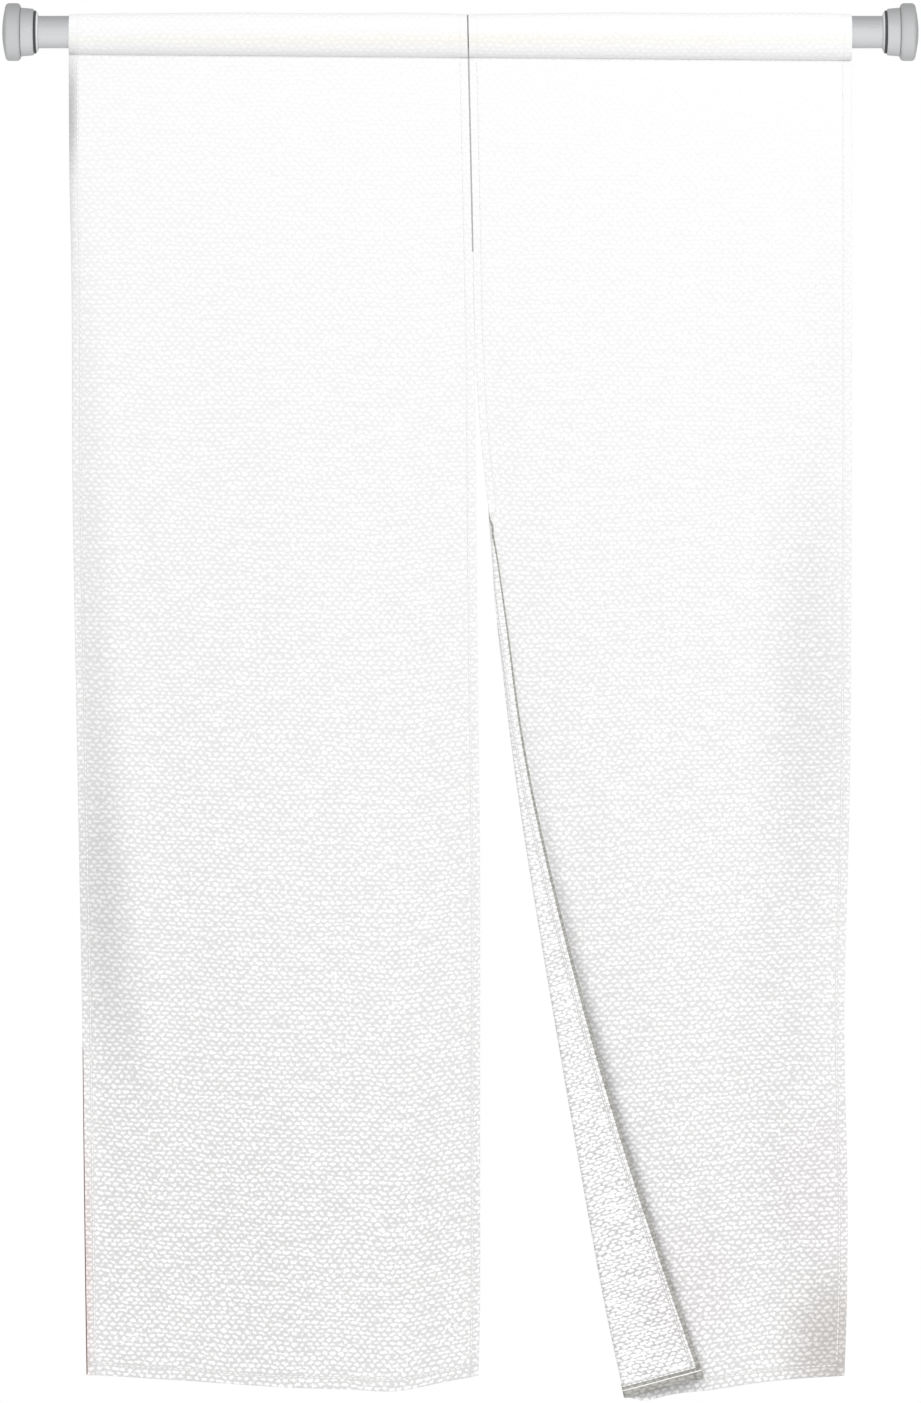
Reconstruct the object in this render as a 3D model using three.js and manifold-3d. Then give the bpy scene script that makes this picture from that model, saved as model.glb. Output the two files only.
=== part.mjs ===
// A noren curtain: two white linen panels hung by their rod pockets on a grey tension rod.
// Millimetres. +X runs along the rod, +Z is up and the front faces -Y.
// The origin is the middle of the left end pad's flat face, on the rod's axis.
import * as THREE from "three";
import Module from "manifold-3d";

const wasm = await Module();
wasm.setup();

// Rod and end caps
const SPAN = 1000; // from one end pad's face to the other
const ROD_RADIUS = 17.65;
const GAP = 0.3; // between pieces that touch
const ROUND_SIDES = 32;
const PAD = {
  faceRadius: 9, domeDepth: 2.9, domeRadius: 26.4, radius: 31.5, rimFrom: 7.4, rimTo: 15.1,
  backRadius: 27.6, depth: 19.8,
};
const COLLAR = { rootRadius: 26.6, shoulderRadius: 25.6, tipRadius: 23.9, tipRound: 3, depth: 14.2 };
const LOCK_RING = { radius: 23.4, depth: 2 };
const BUSH = { rootRadius: 22, tipRadius: 18.9, lip: 0.6, depth: 2.2 };

// Cloth
const CLOTH = 1.6; // thickness of one layer
const HEM = { side: 11, bottom: 15, extra: 0.9, slope: 1.2, mostOfFlap: 0.5 }; // extra is added behind
const POCKET = { from: 72.9, to: 927.2, stitchLeft: 23.5, stitchRight: 30.6, crownLift: 1.6 };
const POCKET_ARC_STEPS = 14;
const POCKET_STATIONS = 12;
const SHEET_OVERLAP = 0.6; // how far a sheet's top reaches into its pocket's closed foot

// The left panel's two edges. down is the depth below the rod's axis.
const LEFT_EDGES = [
  { down: -25, outer: 72.9, inner: 507.6 },
  { down: 60, outer: 72.2, inner: 509.5 },
  { down: 160, outer: 72.8, inner: 511.7 },
  { down: 241, outer: 74.6, inner: 513.5 },
  { down: 330, outer: 75.4, inner: 515.3 },
  { down: 500, outer: 75.9, inner: 516.9 },
  { down: 730, outer: 79.4, inner: 519.3 },
  { down: 894, outer: 82.1, inner: 521.5 },
  { down: 1167, outer: 87.2, inner: 521.6 },
  { down: 1385, outer: 90.6, inner: 521.5 },
  { down: 1470, outer: 92.1, inner: 519.6 },
];
const LEFT_HEM = [
  { across: 0, down: 1467 },
  { across: 0.18, down: 1471.5 },
  { across: 0.48, down: 1479 },
  { across: 0.67, down: 1481.5 },
  { across: 0.79, down: 1484 },
  { across: 0.91, down: 1475 },
  { across: 1, down: 1468 },
];

// The right panel. fold is its inner outline: the seam and slit edge, and lower down the fold line.
const RIGHT_EDGES = [
  { down: -25, fold: 507.9, outer: 927.2 },
  { down: 60, fold: 509.8, outer: 927.2 },
  { down: 160, fold: 512, outer: 927.2 },
  { down: 241, fold: 513.8, outer: 927.2 },
  { down: 330, fold: 515.6, outer: 927 },
  { down: 402, fold: 519.2, outer: 927 },
  { down: 456, fold: 523.6, outer: 926.8 },
  { down: 530, fold: 531.6, outer: 926.6 },
  { down: 664, fold: 542.6, outer: 926 },
  { down: 779, fold: 555.6, outer: 925.2 },
  { down: 894, fold: 572, outer: 923.4 },
  { down: 1090, fold: 604.4, outer: 918.4 },
  { down: 1287, fold: 638.6, outer: 922 },
  { down: 1400, fold: 659.4, outer: 921.6 },
  { down: 1500, fold: 681.2, outer: 918.6 },
];
const RIGHT_HEM = [
  { across: 0, down: 1492 },
  { across: 0.07, down: 1495.5 },
  { across: 0.2, down: 1490 },
  { across: 0.39, down: 1482.5 },
  { across: 0.58, down: 1476 },
  { across: 0.8, down: 1470.4 },
  { across: 1, down: 1466.5 },
];
// The inner edge, turned over to the front below the slit's top: the radius of the bend, how far round it
// turns and leans in degrees, and the width of cloth that lies flat past the bend.
const FLAP = [
  { down: 400, bend: 2, turn: 0, lean: 5, flat: 12.5 },
  { down: 495, bend: 2, turn: 3, lean: 5, flat: 12.3 },
  { down: 516, bend: 2, turn: 10, lean: 5, flat: 12 },
  { down: 532, bend: 2, turn: 85, lean: 5, flat: 7 },
  { down: 548, bend: 2, turn: 165, lean: 5, flat: 1.2 },
  { down: 562, bend: 2, turn: 180, lean: 5, flat: 1.9 },
  { down: 594, bend: 2.1, turn: 180, lean: 5, flat: 4.3 },
  { down: 664, bend: 2.3, turn: 180, lean: 5.5, flat: 8.1 },
  { down: 754, bend: 2.7, turn: 180, lean: 6.5, flat: 9.8 },
  { down: 843, bend: 3, turn: 180, lean: 7.5, flat: 13.8 },
  { down: 978, bend: 3.4, turn: 180, lean: 8.8, flat: 23.3 },
  { down: 1114, bend: 3.8, turn: 180, lean: 9.2, flat: 35.6 },
  { down: 1251, bend: 4.2, turn: 180, lean: 9.2, flat: 51.6 },
  { down: 1389, bend: 4.6, turn: 180, lean: 8.4, flat: 71.1 },
  { down: 1492, bend: 5, turn: 180, lean: 7.3, flat: 83.3 },
];

// Folds. A step moves the cloth on the outer side of its place, and a ridge moves it along its place.
// reach is half the fold's width, and back is how far it goes away from the viewer, or forward below 0.
const LEFT_STEP = [
  { down: 60, place: 78, reach: 20, back: 0 },
  { down: 400, place: 88, reach: 27, back: 9 },
  { down: 730, place: 101, reach: 32, back: 22 },
  { down: 894, place: 112, reach: 34, back: 28 },
  { down: 1058, place: 126, reach: 37, back: 27 },
  { down: 1221, place: 136, reach: 44, back: 12 },
  { down: 1467, place: 142, reach: 50, back: 4 },
];
const LEFT_BELLY = [
  { down: 60, place: 300, reach: 200, back: 0 },
  { down: 600, place: 310, reach: 200, back: -7 },
  { down: 1000, place: 330, reach: 190, back: -12 },
  { down: 1467, place: 350, reach: 170, back: -16 },
];
// The left edge turns back a little below the pocket, and forward near the hem.
const LEFT_CURL = [
  { down: 30, reach: 9, back: 0 },
  { down: 70, reach: 9, back: 5 },
  { down: 160, reach: 9, back: 4 },
  { down: 320, reach: 9, back: 1 },
  { down: 700, reach: 12, back: 0 },
  { down: 1000, reach: 16, back: 0 },
  { down: 1250, reach: 16, back: -5 },
  { down: 1467, reach: 18, back: -8 },
];
const RIGHT_STEP = [
  { down: 60, place: 908, reach: 26, back: 0 },
  { down: 300, place: 900, reach: 32, back: -8 },
  { down: 620, place: 882, reach: 42, back: -15 },
  { down: 820, place: 866, reach: 48, back: -19 },
  { down: 1040, place: 848, reach: 54, back: -21 },
  { down: 1200, place: 850, reach: 58, back: -18 },
  { down: 1467, place: 878, reach: 44, back: -14 },
];
const RIGHT_BELLY = [
  { down: 241, place: 660, reach: 180, back: 0 },
  { down: 620, place: 670, reach: 170, back: -8 },
  { down: 1000, place: 700, reach: 130, back: -9 },
  { down: 1467, place: 790, reach: 80, back: -8 },
];
// The valley behind the turned-over corner, placed from where the bend begins.
const RIGHT_VALLEY = [
  { down: 700, place: 12, reach: 10, back: 0 },
  { down: 900, place: 18, reach: 15, back: 4 },
  { down: 1200, place: 33, reach: 29, back: 11 },
  { down: 1490, place: 50, reach: 45, back: 18 },
];

// How finely the sheets are divided. Rows are shares of the way from the stitch line to the hem.
// They are close where the inner edge turns over.
const ROWS = [0.02, 0.06, 0.11, 0.16, 0.21, 0.26, 0.3, 0.32, 0.333, 0.34, 0.347, 0.355, 0.364, 0.38, 0.41,
  0.45, 0.49, 0.53, 0.57, 0.61, 0.65, 0.69, 0.73, 0.77, 0.81, 0.85, 0.89, 0.93, 0.965];
const LEFT_COLUMNS = 20;
const RIGHT_COLUMNS = 20;
const BEND_COLUMNS = 6;
const BEND_LEAST = 4; // the bend's columns cover at least this width, also where the cloth is still flat
const FLAP_COLUMNS = 4;

// A column's value on a smooth curve through a table's rows.
function read(rows, column, at, place = "down") {
  const last = rows.length - 1;
  if (at <= rows[0][place]) return rows[0][column];
  if (at >= rows[last][place]) return rows[last][column];
  const i = rows.findIndex((row) => row[place] > at) - 1;
  const slope = (j) => {
    const before = rows[Math.max(j - 1, 0)];
    const after = rows[Math.min(j + 1, last)];
    return (after[column] - before[column]) / (after[place] - before[place]);
  };
  const span = rows[i + 1][place] - rows[i][place];
  const t = (at - rows[i][place]) / span;
  const rise = rows[i + 1][column] - rows[i][column];
  const lean = span * t * (1 - t) * (slope(i) * (1 - t) - slope(i + 1) * t);
  return rows[i][column] + rise * t * t * (3 - 2 * t) + lean;
}

// A step falls from 1 to 0 across its place, and a ridge from 1 to 0 on each side of it.
const within = (offset, reach) => THREE.MathUtils.clamp(offset / reach, -1, 1);
const step = (offset, reach) => 0.5 - 0.5 * Math.sin((Math.PI / 2) * within(offset, reach));
const ridge = (offset, reach) => 0.5 + 0.5 * Math.cos(Math.PI * within(offset, reach));

function foldBack(form, rows, x, down, origin = 0) {
  const offset = x - origin - read(rows, "place", down);
  return read(rows, "back", down) * form(offset, read(rows, "reach", down));
}

function leftBack(x, down) {
  const fromEdge = x - read(LEFT_EDGES, "outer", down);
  const curl = Math.max(1 - fromEdge / read(LEFT_CURL, "reach", down), 0) ** 2;
  return foldBack(step, LEFT_STEP, x, down)
    + foldBack(ridge, LEFT_BELLY, x, down)
    + read(LEFT_CURL, "back", down) * curl;
}

function rightBack(x, down, bendX) {
  const outerStep = read(RIGHT_STEP, "back", down) - foldBack(step, RIGHT_STEP, x, down);
  return outerStep
    + foldBack(ridge, RIGHT_BELLY, x, down)
    + foldBack(ridge, RIGHT_VALLEY, x, down, bendX);
}

const stitchDepth = (x) => THREE.MathUtils.mapLinear(
  x, POCKET.from, POCKET.to, POCKET.stitchLeft, POCKET.stitchRight);

// How far down a row lies at x, where it is some share of the way across the panel.
function levelOf(share, x, hem, across) {
  const top = stitchDepth(x) - SHEET_OVERLAP;
  return top + share * (read(hem, "down", across, "across") - top);
}

const evenly = (from, to, count) => Array.from({ length: count + 1 }, (_, i) => from + ((to - from) * i) / count);

// Distances across a stretch of cloth, with close stops where a hem's extra thickness ends.
function stops(width, count, hemAtStart, hemAtEnd) {
  const inner = HEM.side + HEM.slope;
  const start = hemAtStart ? [0, HEM.side] : [];
  const end = hemAtEnd ? [width - HEM.side, width] : [];
  return [...start, ...evenly(hemAtStart ? inner : 0, hemAtEnd ? width - inner : width, count), ...end];
}

function rowShares(length) {
  return [0, ...ROWS, 1 - (HEM.bottom + HEM.slope) / length, 1 - HEM.bottom / length, 1];
}

// Extra thickness behind the cloth: full in a hem, and none a slope's width inside it.
function hemExtra(fromSide, fromBottom) {
  const side = (fromSide - HEM.side) / HEM.slope;
  const bottom = (fromBottom - HEM.bottom) / HEM.slope;
  return HEM.extra * (1 - THREE.MathUtils.clamp(Math.min(side, bottom), 0, 1));
}

// Each sheet is a grid of points on its middle surface, row by row from the stitch line to the hem.
function leftGrid() {
  const width = LEFT_EDGES[0].inner - LEFT_EDGES[0].outer;
  const length = LEFT_HEM[0].down - POCKET.stitchLeft;
  return rowShares(length).map((share) => stops(width, LEFT_COLUMNS, true, true).map((distance) => {
    const across = distance / width;
    const level = levelOf(share, POCKET.from + distance, LEFT_HEM, across);
    const x = THREE.MathUtils.lerp(read(LEFT_EDGES, "outer", level), read(LEFT_EDGES, "inner", level), across);
    return {
      point: new THREE.Vector3(x, leftBack(x, level), -level),
      extra: hemExtra(Math.min(distance, width - distance), (1 - share) * length),
    };
  }));
}

// A row of the right sheet begins at its free inner edge, goes round the bend and on to the outer edge.
function rightGrid() {
  const length = RIGHT_HEM.at(-1).down - POCKET.stitchRight;
  return rowShares(length).map((share) => {
    const fromBottom = (1 - share) * length;
    const foldLevel = levelOf(share, RIGHT_EDGES[0].fold, RIGHT_HEM, 0);
    const bend = read(FLAP, "bend", foldLevel);
    const flat = read(FLAP, "flat", foldLevel);
    const turn = THREE.MathUtils.degToRad(read(FLAP, "turn", foldLevel));
    const arc = bend * turn;
    const face = (CLOTH / 2) * Math.sin(Math.min(turn, Math.PI / 2));
    const sticksOut = face + (turn < Math.PI / 2 ? bend * Math.sin(turn) + flat * Math.cos(turn) : bend);

    // The cloth winds round a line that leans by this angle.
    const lean = THREE.MathUtils.degToRad(read(FLAP, "lean", foldLevel));
    const along = new THREE.Vector3(Math.sin(lean), 0, -Math.cos(lean));
    const outward = new THREE.Vector3(-Math.cos(lean), 0, -Math.sin(lean));
    const bendX = read(RIGHT_EDGES, "fold", foldLevel) + sticksOut / Math.cos(lean);
    const bendStart = new THREE.Vector3(bendX, rightBack(bendX, foldLevel, bendX), -foldLevel);
    const turnedOver = (travel) => {
      const angle = Math.min(travel, arc) / bend;
      const past = Math.max(travel - arc, 0);
      const side = bend * Math.sin(angle) + past * Math.cos(angle);
      const forward = bend * (1 - Math.cos(angle)) + past * Math.sin(angle);
      return bendStart.clone()
        .addScaledVector(along, -travel * Math.tan(lean))
        .addScaledVector(outward, side)
        .add(new THREE.Vector3(0, -forward, 0));
    };

    const strip = flat + arc;
    const flap = Math.min(flat, strip - BEND_LEAST);
    const hem = Math.min(HEM.side, flap * HEM.mostOfFlap);
    const inner = Math.min(hem + HEM.slope, (hem + flap) / 2);
    const flapStops = [0, hem, ...evenly(inner, flap, FLAP_COLUMNS)];
    const bendStops = evenly(flap, strip, BEND_COLUMNS).slice(1);
    const turnedRow = [...flapStops, ...bendStops].map((distance) => ({
      point: turnedOver(strip - distance),
      extra: hemExtra(distance, fromBottom),
    }));

    const outer = read(RIGHT_EDGES, "outer", foldLevel);
    const width = outer - bendX;
    const main = stops(width, RIGHT_COLUMNS, false, true).slice(1).map((distance) => {
      const x = bendX + distance;
      const level = levelOf(share, x, RIGHT_HEM, distance / width);
      return {
        point: new THREE.Vector3(x, rightBack(x, level, bendX), -level),
        extra: hemExtra(width - distance, fromBottom),
      };
    });
    return [...turnedRow, ...main];
  });
}

// The closed solid of a sheet's grid: half a layer in front, half behind and the hems' extra behind that.
function sheetSolid(grid) {
  const lastRow = grid.length - 1;
  const lastColumn = grid[0].length - 1;
  const pointAt = (r, c) => grid[THREE.MathUtils.clamp(r, 0, lastRow)][THREE.MathUtils.clamp(c, 0, lastColumn)].point;
  const vertices = [];
  grid.forEach((row, r) => row.forEach(({ point, extra }, c) => {
    const down = pointAt(r + 1, c).clone().sub(pointAt(r - 1, c));
    const across = pointAt(r, c + 1).clone().sub(pointAt(r, c - 1));
    const front = down.cross(across).normalize();
    vertices.push(...point.clone().addScaledVector(front, CLOTH / 2));
    vertices.push(...point.clone().addScaledVector(front, -CLOTH / 2 - extra));
  }));
  const frontAt = (r, c) => 2 * (r * (lastColumn + 1) + c);
  const triangles = [];
  for (let r = 0; r < lastRow; r += 1) {
    for (let c = 0; c < lastColumn; c += 1) {
      const corners = [frontAt(r, c), frontAt(r + 1, c), frontAt(r + 1, c + 1), frontAt(r, c + 1)];
      const [a, b, d, e] = corners;
      triangles.push([a, b, d], [a, d, e]);
      const [f, g, h, i] = corners.map((corner) => corner + 1);
      triangles.push([f, h, g], [f, i, h]);
    }
  }
  const rowsDown = evenly(0, lastRow, lastRow);
  const columnsAcross = evenly(0, lastColumn, lastColumn);
  const border = [
    ...rowsDown.map((r) => frontAt(r, 0)),
    ...columnsAcross.slice(1).map((c) => frontAt(lastRow, c)),
    ...rowsDown.slice(0, -1).reverse().map((r) => frontAt(r, lastColumn)),
    ...columnsAcross.slice(1, -1).reverse().map((c) => frontAt(0, c)),
  ];
  border.forEach((p, i) => {
    const q = border[(i + 1) % border.length];
    triangles.push([q, p, p + 1], [q, p + 1, q + 1]);
  });
  return solidOf(vertices, triangles);
}

// A pocket's section: round the rod, then straight down on both sides to the stitch line.
function teardrop(radius, stitch, lift) {
  const foot = Math.acos(radius / stitch);
  const round = evenly(foot, 2 * Math.PI - foot, POCKET_ARC_STEPS).map((angle) => {
    const height = -Math.cos(angle) * radius;
    return { back: -Math.sin(angle) * radius, height: height > 0 ? height * (1 + lift / radius) : height };
  });
  return [{ back: 0, height: -stitch }, ...round];
}

function pocketSolid(edges, from, to) {
  const inside = (ROD_RADIUS + GAP) / Math.cos(Math.PI / POCKET_ARC_STEPS);
  const vertices = [];
  const stations = evenly(0, 1, POCKET_STATIONS);
  for (const share of stations) {
    const lift = POCKET.crownLift * (1 - Math.abs(2 * share - 1) ** 6);
    const stitch = stitchDepth(THREE.MathUtils.lerp(edges[0][from], edges[0][to], share));
    for (const radius of [inside, inside + CLOTH]) {
      for (const { back, height } of teardrop(radius, (stitch * radius) / (inside + CLOTH / 2), lift)) {
        const x = THREE.MathUtils.lerp(read(edges, from, -height), read(edges, to, -height), share);
        vertices.push(x, back, height);
      }
    }
  }
  const ring = POCKET_ARC_STEPS + 2;
  const inner = (station, k) => 2 * ring * station + (k % ring);
  const outer = (station, k) => inner(station, k) + ring;
  const triangles = [];
  const quad = (a, b, c, d) => triangles.push([a, b, c], [a, c, d]);
  for (let k = 0; k < ring; k += 1) {
    for (let s = 0; s < POCKET_STATIONS; s += 1) {
      quad(outer(s, k), outer(s + 1, k), outer(s + 1, k + 1), outer(s, k + 1));
      quad(inner(s, k), inner(s, k + 1), inner(s + 1, k + 1), inner(s + 1, k));
    }
    quad(outer(0, k), outer(0, k + 1), inner(0, k + 1), inner(0, k));
    const s = POCKET_STATIONS;
    quad(outer(s, k), inner(s, k), inner(s, k + 1), outer(s, k + 1));
  }
  return solidOf(vertices, triangles);
}

function solidOf(vertices, triangles) {
  return new wasm.Manifold(new wasm.Mesh({
    numProp: 3,
    vertProperties: new Float32Array(vertices),
    triVerts: new Uint32Array(triangles.flat()),
  }));
}

function geometryOf(solid) {
  const { vertProperties, triVerts } = solid.getMesh();
  const geometry = new THREE.BufferGeometry();
  geometry.setAttribute("position", new THREE.BufferAttribute(vertProperties, 3));
  geometry.setIndex(new THREE.BufferAttribute(triVerts, 1));
  return geometry;
}

// A turned piece from its outline of [along the rod, radius] points.
function turned(outline) {
  return new THREE.LatheGeometry(outline.map(([along, radius]) => new THREE.Vector2(radius, along)), ROUND_SIDES);
}

// Outline points of a quarter-round shoulder, past its first point: it leaves across the rod if
// acrossFirst is true, and along it otherwise.
function shoulder([fromAlong, fromRadius], [toAlong, toRadius], acrossFirst, steps = 3) {
  return evenly(0, Math.PI / 2, steps).slice(1).map((angle) => {
    const early = Math.sin(angle);
    const late = 1 - Math.cos(angle);
    return [
      THREE.MathUtils.lerp(fromAlong, toAlong, acrossFirst ? late : early),
      THREE.MathUtils.lerp(fromRadius, toRadius, acrossFirst ? early : late),
    ];
  });
}

// The pad's flat face, its dome out to the shoulder, the rim and the rounded back.
function padOutline() {
  const domeRise = (radius) => PAD.domeDepth
    * (radius ** 2 - PAD.faceRadius ** 2) / (PAD.domeRadius ** 2 - PAD.faceRadius ** 2);
  const dome = evenly(PAD.faceRadius, PAD.domeRadius, 2).map((radius) => [domeRise(radius), radius]);
  return [
    [0, 0],
    ...dome,
    ...shoulder([PAD.domeDepth, PAD.domeRadius], [PAD.rimFrom, PAD.radius], true),
    [PAD.rimTo, PAD.radius],
    ...shoulder([PAD.rimTo, PAD.radius], [PAD.depth, PAD.backRadius], false),
    [PAD.depth, 0],
  ];
}

// The outline of a ring that sits on the rod, from its outer edge's points.
function ringOutline(outer) {
  const bore = ROD_RADIUS + GAP;
  return [[outer[0][0], bore], ...outer, [outer.at(-1)[0], bore], [outer[0][0], bore]];
}

// Each end's pieces are drawn from the wall face at 0 towards the middle of the rod.
const COLLAR_FROM = PAD.depth + GAP;
const COLLAR_TO = COLLAR_FROM + COLLAR.depth;
const RING_FROM = COLLAR_TO + GAP;
const BUSH_FROM = RING_FROM + LOCK_RING.depth + GAP;

const END_PIECES = [
  {
    name: "end_pad",
    material: () => new THREE.MeshStandardMaterial({ color: 0xbdbfc0, roughness: 0.7, metalness: 0 }),
    geometry: turned(padOutline()),
  },
  {
    name: "end_collar",
    material: () => new THREE.MeshStandardMaterial({ color: 0xc4c6c8, roughness: 0.4, metalness: 0 }),
    geometry: turned(ringOutline([
      [COLLAR_FROM, COLLAR.rootRadius],
      [COLLAR_TO - COLLAR.tipRound, COLLAR.shoulderRadius],
      ...shoulder([COLLAR_TO - COLLAR.tipRound, COLLAR.shoulderRadius], [COLLAR_TO, COLLAR.tipRadius], false),
    ])),
  },
  {
    name: "lock_ring",
    material: () => new THREE.MeshStandardMaterial({ color: 0x3f4345, roughness: 0.55, metalness: 0 }),
    geometry: turned(ringOutline([
      [RING_FROM, LOCK_RING.radius],
      [RING_FROM + LOCK_RING.depth, LOCK_RING.radius],
    ])),
  },
  {
    name: "bush",
    material: () => new THREE.MeshStandardMaterial({ color: 0xf1f2f2, roughness: 0.5, metalness: 0 }),
    geometry: turned(ringOutline([
      [BUSH_FROM, BUSH.rootRadius],
      [BUSH_FROM + BUSH.lip, BUSH.rootRadius],
      [BUSH_FROM + BUSH.depth, BUSH.tipRadius],
    ])),
  },
];

function endGroup(side) {
  const group = new THREE.Group();
  for (const { name, geometry, material } of END_PIECES) {
    const piece = new THREE.Mesh(geometry, material());
    piece.name = `${side}_${name}`;
    group.add(piece);
  }
  group.rotation.z = side === "left" ? -Math.PI / 2 : Math.PI / 2;
  group.position.x = side === "left" ? 0 : SPAN;
  return group;
}

function rodTube() {
  const end = SPAN - COLLAR_FROM;
  const geometry = turned([[COLLAR_FROM, 0], [COLLAR_FROM, ROD_RADIUS], [end, ROD_RADIUS], [end, 0]]);
  const rod = new THREE.Mesh(
    geometry, new THREE.MeshStandardMaterial({ color: 0xc6c8c9, roughness: 0.35, metalness: 0.2 }));
  rod.name = "rod_tube";
  rod.rotation.z = -Math.PI / 2;
  return rod;
}

function panel(name, grid, edges, from, to) {
  const solid = sheetSolid(grid).add(pocketSolid(edges, from, to));
  const mesh = new THREE.Mesh(
    geometryOf(solid), new THREE.MeshStandardMaterial({ color: 0xf7f7f6, roughness: 0.95, metalness: 0 }));
  mesh.name = name;
  return mesh;
}

const curtain = new THREE.Group();
curtain.add(
  rodTube(),
  endGroup("left"),
  endGroup("right"),
  panel("panel_left", leftGrid(), LEFT_EDGES, "outer", "inner"),
  panel("panel_right", rightGrid(), RIGHT_EDGES, "fold", "outer"),
);
export default curtain;
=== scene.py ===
# A noren curtain: two coarse white linen panels on a grey tension rod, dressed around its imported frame.
# Metres, +Z up, the front faces -Y. The tables below are in millimetres, as a sewing pattern is.
import math

import bpy
import numpy as np
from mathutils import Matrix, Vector


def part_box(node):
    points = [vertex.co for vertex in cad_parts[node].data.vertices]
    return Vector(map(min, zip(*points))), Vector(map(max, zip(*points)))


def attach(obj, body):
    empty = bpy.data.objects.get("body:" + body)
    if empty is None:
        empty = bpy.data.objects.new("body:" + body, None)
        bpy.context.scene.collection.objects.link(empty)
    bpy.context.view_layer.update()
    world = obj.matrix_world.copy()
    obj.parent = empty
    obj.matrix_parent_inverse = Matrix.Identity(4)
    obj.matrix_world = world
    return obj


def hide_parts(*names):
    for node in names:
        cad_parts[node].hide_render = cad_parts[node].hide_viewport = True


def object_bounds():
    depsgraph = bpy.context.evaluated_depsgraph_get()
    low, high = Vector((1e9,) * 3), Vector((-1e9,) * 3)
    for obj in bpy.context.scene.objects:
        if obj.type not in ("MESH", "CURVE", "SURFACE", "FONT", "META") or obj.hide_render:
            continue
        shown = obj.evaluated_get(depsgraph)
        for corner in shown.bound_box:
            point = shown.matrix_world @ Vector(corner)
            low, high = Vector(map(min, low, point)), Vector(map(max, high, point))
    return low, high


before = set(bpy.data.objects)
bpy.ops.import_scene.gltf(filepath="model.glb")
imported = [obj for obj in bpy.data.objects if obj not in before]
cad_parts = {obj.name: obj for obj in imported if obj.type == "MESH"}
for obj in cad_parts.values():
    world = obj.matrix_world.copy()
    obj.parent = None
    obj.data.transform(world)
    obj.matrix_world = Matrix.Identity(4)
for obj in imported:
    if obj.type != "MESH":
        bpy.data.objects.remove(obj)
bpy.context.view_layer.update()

MM = 0.001

# Camera, which stands square to the curtain and far back, as the photograph is nearly without perspective
PHOTO_SIZE = (921, 1403)
MM_PER_PIXEL = 1.0925
ROD_PIXEL = (2.7, 32.05)  # where the frame's origin lies in the photograph
LENS, SENSOR = 200, 36
FARTHEST = 100  # metres

# Rod and end caps, from the frame
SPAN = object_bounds()[1].x / MM
ROD_LOW, ROD_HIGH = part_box("rod_tube")
ROD_RADIUS = ROD_HIGH.z / MM
ROUND_SIDES = 96
# A round piece's edges are bevelled from one angle on and shaded smooth under another, in degrees
ROUNDING = {"width": 0.4, "segments": 3, "from_angle": 35}
SMOOTH_UNDER = 40
SAME_PLACE = 0.01  # two places along the rod that are closer than this are one
QUARTER_STEPS = 6

# Cloth: one layer's thickness and the gap to what it lies on
CLOTH = 1.2
GAP = 0.3
# A sheet's rim is rounded over its width, down to a least share of the thickness. A line of stitches lies in
# a dimple.
RIM = {"width": 1.2, "least": 0.3}
DIMPLE = {"deep": 0.3, "wide": 0.7}
# A hem's width at the side and the bottom, its extra thickness and the slope where that ends, its lines of
# stitches, and half the width of the painted shade along them, in their groove
HEM = {
    "side": 11, "bottom": 15, "extra": 0.8, "slope": 1.2,
    "side_stitch": 9, "bottom_stitch": 12.2, "groove": 1.4,
}
# Both pockets together: their ends along the rod and the depth of the stitch line there. The crown is lifted
# most in the middle of a panel, with a small wave along it. The cloth that comes down behind the rod moves
# behind the sheet on the last stretch of its turn, and ends in a lip below the stitch line.
POCKET = {
    "from": 72.9, "to": 927.2, "stitch_left": 23.5, "stitch_right": 30.6, "slack": 0.2, "steps": 61,
    "crown_lift": 1.6, "crown_power": 6, "wave": 0.25, "wave_length": 33, "bulge_power": 0.8,
    "behind_from": 0.7, "lip": 11,
}
LIP_ROWS = (0.15, 0.4, 0.7, 0.93, 1)

# The sheets' grids of points. Below the stitch line the rows are closer in the turn zone, where the right
# panel's edge turns over. Columns are counted without the hems, and a stretch of them has a least width.
ROW_PITCH = 6
TURN_PITCH = 2
TURN_ZONE = (465, 540)
COLUMNS = {"left": 62, "right": 56, "flap": 14, "bend": 12}
LEAST_STRETCH = 2

# Weave: white grains, where a weft thread passes over, in a network of the shaded rest. A grain is half a
# pitch to the side in every second row, and shades off from its core to its edge, in shares of its own size.
# Fuzz is how much a fine noise eats into grains or adds to them, in the same shares.
# This is coarser than a real linen's 1 mm, as the photograph is.
# The network fades towards the rod and is full from a depth of 1300 mm: painted light, for the brighter
# light near the top.
GRAIN = {
    "front": {"pitch": 8.7, "row": 4.9, "long": 3.5, "tall": 2.1, "core": 0.3, "edge": 1.25, "fuzz": 2},
    "reverse": {"pitch": 9.8, "row": 3.8, "long": 4.2, "tall": 1.7, "core": 0.6, "edge": 1.4, "fuzz": 1.3},
}
NETWORK_PAINTED_LIGHT = {"faint_to": 60, "full_from": 1300, "faint": 0.2}
# How the rows of grains waver: the size and the reach of a slow drift and a quick jitter, and the size of
# the fuzz and the slubs that make grains uneven
WAVER = {
    "drift_size": 62, "drift": 9, "jitter_size": 7.7, "across": 9, "along": 5, "fuzz_size": 3.1,
    "slub_long": 33, "slub_tall": 6,
}
# Sizes of the other finishes' patterns
PLY = 1.1
DRAWN_LINES = {"long": 330, "apart": 1.1}
MOTTLE = {"moulded": 22, "floor": 170}


def columns(names, *rows):
    """A table of numbers by column name."""
    return dict(zip(names.split(), np.array(rows, float).T))


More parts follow.
